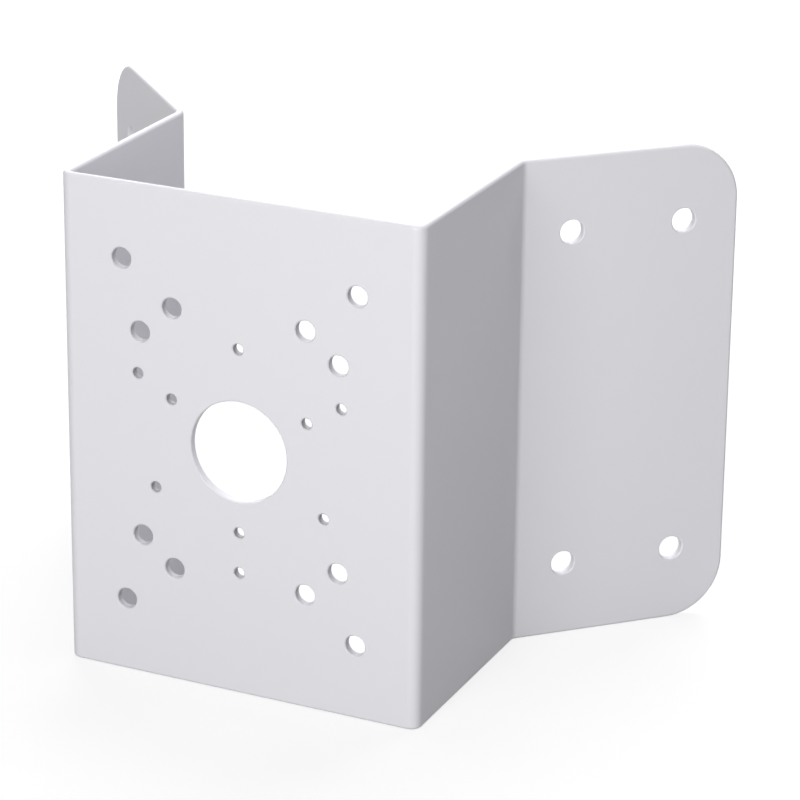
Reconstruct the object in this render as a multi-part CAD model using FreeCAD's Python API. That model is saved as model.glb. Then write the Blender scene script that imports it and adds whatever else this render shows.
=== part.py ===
"""Corner bracket for a surveillance camera: one steel sheet, punched, folded and coated.

A flat plate carries the camera.  A web runs straight back from each of its two
long edges, and from each web a flange splays outward at 45 degrees, so that the
two flanges stand square to each other and lie flat on the two walls of an
outside corner.  The blank is cut flat with all its holes, folded four times
along upright lines, and powder coated, which rounds its cut edges.

Frame: millimetres, +Z up.  The camera face of the plate is the plane Y = 0 and
looks along -Y.  The origin is the centre of the cable hole on that face, and +X
is to the right of someone who looks at the camera face.
"""
import FreeCAD, Part
import math
import os
from FreeCAD import Vector

# The sheet
THICKNESS = 2.8                     # steel with its coat
HEIGHT = 170.0                      # the same for plate, webs and flanges
PLATE_BEND_RADIUS = 1.0             # inside radius of the two folds beside the plate
FLANGE_BEND_RADIUS = 3.0            # inside radius of the two folds beside the flanges
EDGE_ROUND = 1.1                    # rounding of the coated cut edges

# The folded section, along the outward face, from sharp corner to sharp corner
PLATE_WIDTH = 128.0
WEB_DEPTH = 78.0
FLANGE_LENGTH = 77.0
FLANGE_ANGLE = 45.0                 # how far each flange turns away from its web
FLANGE_CORNER_RADIUS = 20.0         # free corners, top and bottom

# The cable hole in the middle of the plate
CABLE_HOLE_DIAMETER = 34.5

# Screw holes in the plate, in three rectangles round the cable hole
SCREW_HOLE_DIAMETER = 7.0
TALL_PATTERN_ACROSS = 83.5
TALL_PATTERN_UP = 118.5
MIDDLE_PATTERN_ACROSS = 47.5
MIDDLE_PATTERN_UP = 90.0
SQUARE_PATTERN_SIDE = 70.7

# Small screw holes in the plate, three to a circle round the cable hole
PILOT_HOLE_DIAMETER = 3.7
UPRIGHT_CIRCLE_DIAMETER = 70.0      # one hole straight above the cable hole
INNER_CIRCLE_DIAMETER = 56.0        # one hole straight below it
OUTER_CIRCLE_DIAMETER = 84.0        # one hole straight below it

# Wall holes, four in each flange
WALL_HOLE_DIAMETER = 8.4
WALL_HOLES_ALONG = 40.0
WALL_HOLES_UP = 118.0
WALL_HOLE_TO_END = 19.5             # from the outer pair to the flange's free end

HOLE_MOUTH_BEVEL = 0.35             # where the punch enters, on the outward face
PUNCH_OVERSHOOT = 1.0               # how far a punch stands past both faces

UP, DOWN = 90.0, 270.0              # where a three-hole circle has its first hole, in degrees


def heading(degrees):
    """Unit vector in the XY plane, turned from +X towards +Y."""
    angle = math.radians(degrees)
    return Vector(math.cos(angle), math.sin(angle), 0)


def mirrored(vector):
    """The same vector on the other side of the bracket's middle plane."""
    return Vector(-vector.x, vector.y, vector.z)


FLANGE_HEADING = heading(90 - FLANGE_ANGLE)     # from the right web towards the free end
PLATE_EDGE = Vector(PLATE_WIDTH / 2, 0, 0)
WEB_END = PLATE_EDGE + heading(90) * WEB_DEPTH
FLANGE_END = WEB_END + FLANGE_HEADING * FLANGE_LENGTH


def moved_sideways(corners, distance):
    """The open polyline with each of its runs moved the same distance to its left."""
    normals = []
    for start, end in zip(corners, corners[1:]):
        along = (end - start).normalize()
        normals.append(Vector(-along.y, along.x, 0))
    moved = [corners[0] + normals[0] * distance]
    for corner, before, after in zip(corners[1:-1], normals, normals[1:]):
        between = before + after
        moved.append(corner + between * (2 * distance / between.dot(between)))
    moved.append(corners[-1] + normals[-1] * distance)
    return moved


def folded_edges(corners, left_radius, right_radius):
    """Straight runs joined by tangent arcs, one arc for each fold.

    A fold to the left has the first radius, and a fold to the right the second.
    """
    edges = []
    run_start = corners[0]
    for before, corner, after in zip(corners, corners[1:], corners[2:]):
        inward = (corner - before).normalize()
        onward = (after - corner).normalize()
        turn = math.atan2(inward.cross(onward).z, inward.dot(onward))
        radius = left_radius if turn > 0 else right_radius
        setback = radius * math.tan(abs(turn) / 2)
        depth = radius / math.cos(turn / 2) - radius
        arc_start = corner - inward * setback
        arc_middle = corner + (onward - inward).normalize() * depth
        arc_end = corner + onward * setback
        edges.append(Part.LineSegment(run_start, arc_start).toShape())
        edges.append(Part.Arc(arc_start, arc_middle, arc_end).toShape())
        run_start = arc_end
    edges.append(Part.LineSegment(run_start, corners[-1]).toShape())
    return edges


def folded_blank():
    """The sheet with its four folds, its corners and cut edges still sharp."""
    right = [PLATE_EDGE, WEB_END, FLANGE_END]
    outward = [mirrored(corner) for corner in reversed(right)] + right
    inward = moved_sideways(outward, THICKNESS)
    edges = folded_edges(outward, PLATE_BEND_RADIUS + THICKNESS, FLANGE_BEND_RADIUS)
    edges += folded_edges(inward, PLATE_BEND_RADIUS, FLANGE_BEND_RADIUS + THICKNESS)
    edges.append(Part.LineSegment(outward[0], inward[0]).toShape())
    edges.append(Part.LineSegment(outward[-1], inward[-1]).toShape())
    section = Part.Face(Part.Wire(Part.sortEdges(edges)[0]))
    section.translate(Vector(0, 0, -HEIGHT / 2))
    return section.extrude(Vector(0, 0, HEIGHT))


def is_cut_face(face):
    """True for the narrow faces that the cutting of the blank leaves, and not for the sheet's two sides."""
    if isinstance(face.Surface, Part.Cylinder):
        return abs(face.Surface.Axis.z) < 0.5       # a fold's axis is upright, a corner's lies level
    normal = face.normalAt(0, 0)
    end_normal = FLANGE_HEADING if face.CenterOfMass.x > 0 else mirrored(FLANGE_HEADING)
    return abs(normal.z) > 0.5 or normal.dot(end_normal) > 0.99


def cut_face_edges(solid, faces_at_edge):
    """Edges of the cut faces that lie on so many of them: two for a corner, one for the rim of the sheet."""
    edges = [edge for face in solid.Faces if is_cut_face(face) for edge in face.Edges]
    found = []
    for edge in edges:
        alike = sum(edge.isSame(other) for other in edges)
        if alike == faces_at_edge and not any(edge.isSame(other) for other in found):
            found.append(edge)
    return found


def rounded_blank():
    """The folded blank with its free corners cut round and its rim softened all the way round."""
    blank = folded_blank()
    blank = blank.makeFillet(FLANGE_CORNER_RADIUS, cut_face_edges(blank, 2))
    rim_round = min(EDGE_ROUND, 0.4 * THICKNESS)
    return blank.makeFillet(rim_round, cut_face_edges(blank, 1))


def punch(diameter, centre, direction):
    """A round punch that enters the sheet at a point of its outward face, and softens the mouth there."""
    radius = diameter / 2
    start = centre - direction * PUNCH_OVERSHOOT
    flare_length = HOLE_MOUTH_BEVEL + PUNCH_OVERSHOOT
    shaft = Part.makeCylinder(radius, THICKNESS + 2 * PUNCH_OVERSHOOT, start, direction)
    flare = Part.makeCone(radius + flare_length, radius, flare_length, start, direction)
    return shaft.fuse(flare)


def rectangle_offsets(across, up):
    """The four corners of a centred rectangle, as pairs across and up."""
    return [(i * across / 2, j * up / 2) for i in (-1, 1) for j in (-1, 1)]


def circle_offsets(diameter, first, count=3):
    """Evenly spaced points of a centred circle, as pairs across and up."""
    headings = [heading(first + 360 * i / count) for i in range(count)]
    return [(point.x * diameter / 2, point.y * diameter / 2) for point in headings]


def plate_punches():
    """The cable hole, the three rectangles of screw holes and the three circles of small ones."""
    screw_holes = rectangle_offsets(TALL_PATTERN_ACROSS, TALL_PATTERN_UP)
    screw_holes += rectangle_offsets(MIDDLE_PATTERN_ACROSS, MIDDLE_PATTERN_UP)
    screw_holes += rectangle_offsets(SQUARE_PATTERN_SIDE, SQUARE_PATTERN_SIDE)
    pilot_holes = circle_offsets(UPRIGHT_CIRCLE_DIAMETER, UP)
    pilot_holes += circle_offsets(INNER_CIRCLE_DIAMETER, DOWN)
    pilot_holes += circle_offsets(OUTER_CIRCLE_DIAMETER, DOWN)
    holes = [(CABLE_HOLE_DIAMETER, 0, 0)]
    holes += [(SCREW_HOLE_DIAMETER, across, up) for across, up in screw_holes]
    holes += [(PILOT_HOLE_DIAMETER, across, up) for across, up in pilot_holes]
    return [punch(diameter, Vector(across, 0, up), heading(90)) for diameter, across, up in holes]


def flange_punches():
    """The wall holes of both flanges, square to each flange."""
    pattern_centre = FLANGE_END - FLANGE_HEADING * (WALL_HOLE_TO_END + WALL_HOLES_ALONG / 2)
    into_sheet = heading(180 - FLANGE_ANGLE)
    punches = []
    for along, up in rectangle_offsets(WALL_HOLES_ALONG, WALL_HOLES_UP):
        centre = pattern_centre + FLANGE_HEADING * along + Vector(0, 0, up)
        punches.append(punch(WALL_HOLE_DIAMETER, centre, into_sheet))
        punches.append(punch(WALL_HOLE_DIAMETER, mirrored(centre), mirrored(into_sheet)))
    return punches


def corner_bracket():
    """The finished bracket, one solid."""
    return rounded_blank().cut(plate_punches() + flange_punches()).Solids[0]


bracket = corner_bracket()
os.makedirs("parts", exist_ok=True)
bracket.exportStep("parts/corner_bracket.step")

size = bracket.optimalBoundingBox()
print(f"valid {bracket.isValid()}, {len(bracket.Faces)} faces, {bracket.Volume / 1000:.1f} cm3")
print(f"overall {size.XLength:.1f} x {size.YLength:.1f} x {size.ZLength:.1f} mm")
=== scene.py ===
# %% [markdown]
# # A powder-coated corner bracket
#
# The object is one steel sheet: punched flat, folded along four upright lines and
# coated white. It carries a security camera on the outside corner of a building.
# The imported model already has its true form, with every hole, fold and softened
# rim, so this lesson doesn't model the bracket again. It places the camera, gives
# the sheet its coat, and then makes the white surroundings and the light of a
# product picture.
#
# The first cell loads the imported model and keeps its box. All lengths are in
# metres, so a length that is easier to think of in millimetres is written as so
# many times MILLIMETRE.

# %% Load the bracket
import math

import bpy
from mathutils import Matrix, Vector


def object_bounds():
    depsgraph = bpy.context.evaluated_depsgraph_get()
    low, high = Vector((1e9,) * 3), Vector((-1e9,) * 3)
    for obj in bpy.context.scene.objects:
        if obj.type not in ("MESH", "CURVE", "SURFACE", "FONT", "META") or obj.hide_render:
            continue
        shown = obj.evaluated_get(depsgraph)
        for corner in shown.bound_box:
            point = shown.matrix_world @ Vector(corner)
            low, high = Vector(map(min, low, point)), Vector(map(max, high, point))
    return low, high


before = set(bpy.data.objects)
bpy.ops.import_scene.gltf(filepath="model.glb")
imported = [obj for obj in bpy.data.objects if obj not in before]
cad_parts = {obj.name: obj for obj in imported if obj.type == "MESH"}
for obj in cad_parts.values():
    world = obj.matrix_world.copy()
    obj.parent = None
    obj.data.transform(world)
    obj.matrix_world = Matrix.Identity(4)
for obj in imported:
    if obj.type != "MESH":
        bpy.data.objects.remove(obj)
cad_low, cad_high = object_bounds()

scene = bpy.context.scene
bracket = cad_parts["corner_bracket"]
MILLIMETRE = 0.001
print(f"{bracket.name}: {len(bracket.data.polygons)} faces, from {cad_low[:]} to {cad_high[:]}")

# %% [markdown]
# ## Aiming at the bracket
#
# The camera and the lamps stand off the bracket and look at it. A Track To
# constraint on each would turn them there, but their places would still be bare
# coordinates. Two small helpers say it in a photographer's words instead: how far
# round, how high and how far away. A camera and a lamp both look along their own
# -Z axis, so that is the axis that the second helper turns to the target.

# %% Write the helpers that aim
def direction(azimuth, elevation):
    """Unit vector from the bracket: azimuth 0 is towards its front, and 90 towards its right side."""
    across, up = math.radians(azimuth), math.radians(elevation)
    return Vector((math.sin(across) * math.cos(up), -math.cos(across) * math.cos(up), math.sin(up)))


def aim(thing, target, azimuth, elevation, distance, roll=0.0):
    """Stand a camera or a lamp off a target, and point it there. The angles are in degrees."""
    away = direction(azimuth, elevation)
    facing = (-away).to_track_quat("-Z", "Y").to_matrix().to_4x4()
    lean = Matrix.Rotation(math.radians(roll), 4, "Z")
    thing.matrix_world = Matrix.Translation(target + away * distance) @ facing @ lean


print("straight in front:", direction(0, 0)[:])

# %% [markdown]
# ## The camera
#
# A product camera looks at the bracket from the right and from above, with a
# long lens that keeps the folds nearly parallel. It circles round a target, and
# leans a little to one side. It could be tilted down until the bracket is in the
# middle of the picture, but then the upright folds would run together towards the
# floor. So part of that is left to a shifted lens, as on an architect's camera.

# %% Place the camera
CAMERA_TARGET = Vector((20.1, 78.4, 23.2)) * MILLIMETRE
CAMERA_DISTANCE = 1.1396
CAMERA_AZIMUTH = 24.85
CAMERA_ELEVATION = 19.67
CAMERA_ROLL = 0.64
LENS_LENGTH = 153.33            # in millimetres, for a sensor 36 mm wide
LENS_SHIFT_UP = -0.1            # as a share of the picture's width

camera_data = bpy.data.cameras.new("product_camera")
camera_data.lens = LENS_LENGTH
camera_data.shift_y = LENS_SHIFT_UP
camera = bpy.data.objects.new("product_camera", camera_data)
scene.collection.objects.link(camera)
aim(camera, CAMERA_TARGET, CAMERA_AZIMUTH, CAMERA_ELEVATION, CAMERA_DISTANCE, CAMERA_ROLL)
scene.camera = camera
print(f"camera at {camera.location[:]}")

# %% [markdown]
# ## The coat
#
# The steel is hidden under a white powder coat. The powder melts into a satin
# skin about a tenth of a millimetre thick, which is never quite flat or even. A
# photograph of such a coat would need to be unwrapped onto the folds. So it is
# built from nodes that work in the bracket's own space, and run on evenly round
# every fold. The first cell puts a new material on the sheet, and the next ones
# give it its colour, with painted shade in narrow holes and inner corners, its
# gloss and its surface.

# %% Start the coat
coat = bpy.data.materials.new("white_coat")
coat.use_nodes = True
coat_tree = coat.node_tree
coat_shader = coat_tree.nodes["Principled BSDF"]
bracket.data.materials.clear()
bracket.data.materials.append(coat)
print("coat:", bracket.data.materials[0].name)

# %% [markdown]
# ### Painted shade in narrow places
#
# The walls of narrow holes and tight inner corners get painted shade: their
# colour is darkened to grey, and they are made duller too. The walls could have a
# second material, but it would stop with a hard line at the rim. An Ambient
# Occlusion node finds the narrow places and fades into them: it measures how much
# of the view from each point is open within a short reach. That share is 1 on an
# open face, and less in a narrow place.

# %% Find the narrow places
# how far the Ambient Occlusion node looks, which sets where the painted shade falls
PAINTED_SHADE_REACH = 7.5 * MILLIMETRE

occlusion = coat_tree.nodes.new("ShaderNodeAmbientOcclusion")
occlusion.only_local = True
occlusion.inputs["Distance"].default_value = PAINTED_SHADE_REACH
open_share = occlusion.outputs["AO"]
print(f"open share of the view, within {PAINTED_SHADE_REACH / MILLIMETRE} mm")

# %% [markdown]
# ### The colour
#
# The coat is a cool white, and the painted shade in the narrow places a grey. A
# Mix node could blend them over the whole range of the open share. A Color Ramp
# is the better choice, because it also says where each of the two begins.

# %% Colour the coat, and paint shade into the narrow places
COAT_COLOUR = (0.806, 0.798, 0.834, 1.0)
# painted shade: the grey that the coat darkens to in narrow holes and inner corners
PAINTED_SHADE_COLOUR = (0.44, 0.434, 0.453, 1.0)
NARROW, OPEN = 0.60, 0.88               # open share of the view, for the painted shade and the plain coat

# this ramp paints shade into the coat's colour: grey where little of the view is open, white where it
# is open
shade_ramp = coat_tree.nodes.new("ShaderNodeValToRGB")
shaded, full = shade_ramp.color_ramp.elements
shaded.position, shaded.color = NARROW, PAINTED_SHADE_COLOUR
full.position, full.color = OPEN, COAT_COLOUR
coat_tree.links.new(open_share, shade_ramp.inputs["Fac"])
coat_tree.links.new(shade_ramp.outputs["Color"], coat_shader.inputs["Base Color"])
print(f"thin coat below {NARROW}, full coat above {OPEN}")

# %% [markdown]
# ### The drift of the gloss
#
# Satin powder never cures quite evenly, so its gloss drifts from place to place.
# An image of gloss would need unwrapping again. Soft noise with wide blots gives
# the same drift, as numbers from 0 to 1. A Map Range node then turns them into
# the roughness that is wanted, and other steps need one too. So it gets a helper,
# which takes plain numbers as well as the outputs of other nodes.

# %% Let the gloss drift
GLOSSIEST, DULLEST = 0.42, 0.48         # roughness of the full coat
DRIFT_WIDTH = 45 * MILLIMETRE


def noise(tree, width):
    """A socket with soft noise in the object's own space, its blots about this wide."""
    place = tree.nodes.new("ShaderNodeTexCoord")
    texture = tree.nodes.new("ShaderNodeTexNoise")
    texture.inputs["Scale"].default_value = 1 / width
    tree.links.new(place.outputs["Object"], texture.inputs["Vector"])
    return texture.outputs["Fac"]


def between(tree, value, start, end, low, high):
    """A socket that goes from low to high while the value goes from start to end, and no further."""
    node = tree.nodes.new("ShaderNodeMapRange")
    settings = {"Value": value, "From Min": start, "From Max": end, "To Min": low, "To Max": high}
    for name, given in settings.items():
        if isinstance(given, bpy.types.NodeSocket):
            tree.links.new(given, node.inputs[name])
        else:
            node.inputs[name].default_value = given
    return node.outputs["Result"]


full_coat_roughness = between(coat_tree, noise(coat_tree, DRIFT_WIDTH), 0, 1, GLOSSIEST, DULLEST)
print(f"roughness of the full coat: {GLOSSIEST} to {DULLEST}")

# %% [markdown]
# ### The dull holes
#
# The narrow places are duller, as well as painted grey. A second shader for the
# holes could be mixed in, but one number is all that changes. So the open share
# fades the roughness of the narrow places into the drifting one, over the same
# range as the colour.

# %% Dull the narrow places
# roughness in the narrow places, where the shade is painted
NARROW_PLACE_ROUGHNESS = 0.7

roughness = between(coat_tree, open_share, NARROW, OPEN, NARROW_PLACE_ROUGHNESS, full_coat_roughness)
coat_tree.links.new(roughness, coat_shader.inputs["Roughness"])
print("roughness of the thin coat:", NARROW_PLACE_ROUGHNESS)

# %% [markdown]
# ### The orange peel
#
# Under a lamp the melted powder shows a fine, shallow waviness, called orange
# peel. As real shape it would take millions of faces. A Bump node gives the same
# look: it only tilts the light's bounce, by the slope of much finer noise.

# %% Roughen the surface
PEEL_WIDTH = 1.4 * MILLIMETRE
PEEL_HEIGHT = 0.004 * MILLIMETRE

peel = coat_tree.nodes.new("ShaderNodeBump")
peel.inputs["Distance"].default_value = PEEL_HEIGHT
coat_tree.links.new(noise(coat_tree, PEEL_WIDTH), peel.inputs["Height"])
coat_tree.links.new(peel.outputs["Normal"], coat_shader.inputs["Normal"])
print(f"the coat has {len(coat_tree.nodes)} nodes")

# %% [markdown]
# ## White surroundings
#
# A product picture has a white background, but a white that is made by strong
# light would bleach the white coat too. So the background is white only for the
# rays that make the picture: those that come straight from the camera, and those
# that reach it by a reflection or through something clear. The rays that carry
# light onto the bracket find the surroundings much dimmer. Cycles tells the two
# kinds apart with its Light Path node, and the helper below joins its answers.

# %% Pick out the rays that make the picture
PICTURE_RAYS = ("Is Camera Ray", "Is Glossy Ray", "Is Transmission Ray")


def picture_rays(tree):
    """A socket that gives 1 for rays that make the picture, and 0 for rays that only carry light."""
    path = tree.nodes.new("ShaderNodeLightPath")
    found = path.outputs[PICTURE_RAYS[0]]
    for kind in PICTURE_RAYS[1:]:
        either = tree.nodes.new("ShaderNodeMath")
        either.operation = "MAXIMUM"
        tree.links.new(found, either.inputs[0])
        tree.links.new(path.outputs[kind], either.inputs[1])
        found = either.outputs[0]
    return found


print("these rays make the picture:", ", ".join(PICTURE_RAYS))

# %% [markdown]
# ## The floor
#
# The bracket stands on a pale table. A curved backdrop that sweeps up behind the
# object would hide the far edge, but it would show as a wall in some views. A flat
# sheet that is wide enough does better, because its edge stays far from the
# bracket. It lies at the height of the bracket's lowest edge.

# %% Lay the floor
FLOOR_SIZE = 12.0

bpy.ops.mesh.primitive_plane_add(size=FLOOR_SIZE, location=(0, 0, cad_low.z))
floor = bpy.context.object
floor.name = "floor"
print(f"floor at {cad_low.z / MILLIMETRE:.1f} mm")

# %% [markdown]
# ### The floor's colour
#
# Its own colour is a plain matt grey, which throws a little light back up at the
# bracket. A white one would throw up so much that the folds lost their shade.

# %% Colour the floor
FLOOR_COLOUR = (0.28, 0.28, 0.287, 1.0)
FLOOR_ROUGHNESS = 0.9

pale_floor = bpy.data.materials.new("pale_floor")
pale_floor.use_nodes = True
floor_tree = pale_floor.node_tree
floor_shader = floor_tree.nodes["Principled BSDF"]
floor_shader.inputs["Base Color"].default_value = FLOOR_COLOUR
floor_shader.inputs["Roughness"].default_value = FLOOR_ROUGHNESS
floor.data.materials.append(pale_floor)
print("floor:", floor.data.materials[0].name)

# %% [markdown]
# ### The floor's glow
#
# A glow, for the picture's rays alone, lifts the grey to white. An even glow would
# be too strong at the bracket, or too weak further off, where the lamps reach less
# and less. So it rises with the distance from the floor's middle. Near the bracket
# it is no stronger than the white needs, and a soft shadow still falls on the floor.

# %% Make the floor glow
GLOW_COLOUR = (1.0, 1.0, 1.0, 1.0)
GLOW_NEAR, GLOW_FAR = 0.73, 1.0
RISE_START, RISE_END = 0.4, 2.0         # distance from the floor's middle

place = floor_tree.nodes.new("ShaderNodeTexCoord")
distance = floor_tree.nodes.new("ShaderNodeVectorMath")
distance.operation = "LENGTH"
floor_tree.links.new(place.outputs["Object"], distance.inputs[0])
rising = between(floor_tree, distance.outputs["Value"], RISE_START, RISE_END, GLOW_NEAR, GLOW_FAR)

glow = floor_tree.nodes.new("ShaderNodeMath")
glow.operation = "MULTIPLY"
floor_tree.links.new(picture_rays(floor_tree), glow.inputs[0])
floor_tree.links.new(rising, glow.inputs[1])
floor_tree.links.new(glow.outputs[0], floor_shader.inputs["Emission Strength"])
floor_shader.inputs["Emission Color"].default_value = GLOW_COLOUR
print(f"glow: {GLOW_NEAR} near the bracket, {GLOW_FAR} far off")

# %% [markdown]
# ## The lamps
#
# The tones of the folded sheet come from where its faces look. The plate faces
# the key light and is the brightest, the flange is turned a little away, and the
# web, square to the plate, is the darkest. One soft box alone would leave the web
# and the inside too dark, so there are four. The key stands low in front, so that
# it looks along the bottoms of the holes instead of down on them. A cooler one
# hangs high at the rear, and lights the upper rims and the inside. Another stands
# lower at the rear left, for the sides that show only in other views. The last is
# small and faint, close to the web on the right. A lamp that close fades quickly,
# so the web and the flange darken towards the floor.

# %% Hang the lamps
LAMP_TARGET = Vector((0, 50, 0)) * MILLIMETRE
BOX_SPREAD = 0.7                # width of a soft box, as a share of its distance
PLAIN_WHITE = (1.0, 1.0, 1.0)
COOL_WHITE = (0.98, 0.975, 1.0)


def soft_box(name, azimuth, elevation, distance, watts, colour):
    """A square lamp, aimed at the space between the webs."""
    lamp = bpy.data.lights.new(name, "AREA")
    lamp.size = distance * BOX_SPREAD
    lamp.energy = watts
    lamp.color = colour
    holder = bpy.data.objects.new(name, lamp)
    scene.collection.objects.link(holder)
    aim(holder, LAMP_TARGET, azimuth, elevation, distance)
    print(f"{name}: {watts} W at {holder.location[:]}")


soft_box("key_box", azimuth=10, elevation=20, distance=1.5, watts=19.9, colour=PLAIN_WHITE)
soft_box("side_box", azimuth=90, elevation=35, distance=0.7, watts=0.42, colour=COOL_WHITE)
soft_box("rear_box", azimuth=180, elevation=60, distance=1.5, watts=17.0, colour=COOL_WHITE)
soft_box("rear_left_box", azimuth=215, elevation=25, distance=1.5, watts=8.0, colour=COOL_WHITE)

# %% [markdown]
# ## The room
#
# Beyond the floor is an even white room. Walls could be built for it, but nothing
# of them would show, so Blender's world stands in. It lights the bracket only
# faintly, so that no hole or fold turns black, and the picture's rays see it as
# full white.

# %% Fill in the room
ROOM_COLOUR = (1.0, 1.0, 1.0, 1.0)
ROOM_LIGHT = 0.004
ROOM_WHITE = 1.0

room = bpy.data.worlds.new("room")
room.use_nodes = True
scene.world = room
room_tree = room.node_tree
backdrop = room_tree.nodes["Background"]
backdrop.inputs["Color"].default_value = ROOM_COLOUR
strength = between(room_tree, picture_rays(room_tree), 0, 1, ROOM_LIGHT, ROOM_WHITE)
room_tree.links.new(strength, backdrop.inputs["Strength"])
print("room light:", ROOM_LIGHT)

# %% [markdown]
# ## Finish
#
# Blender's usual display colours imitate film, and would turn the white background
# grey. The Standard ones show each colour as it is.

# %% Finish
scene.view_settings.view_transform = "Standard"
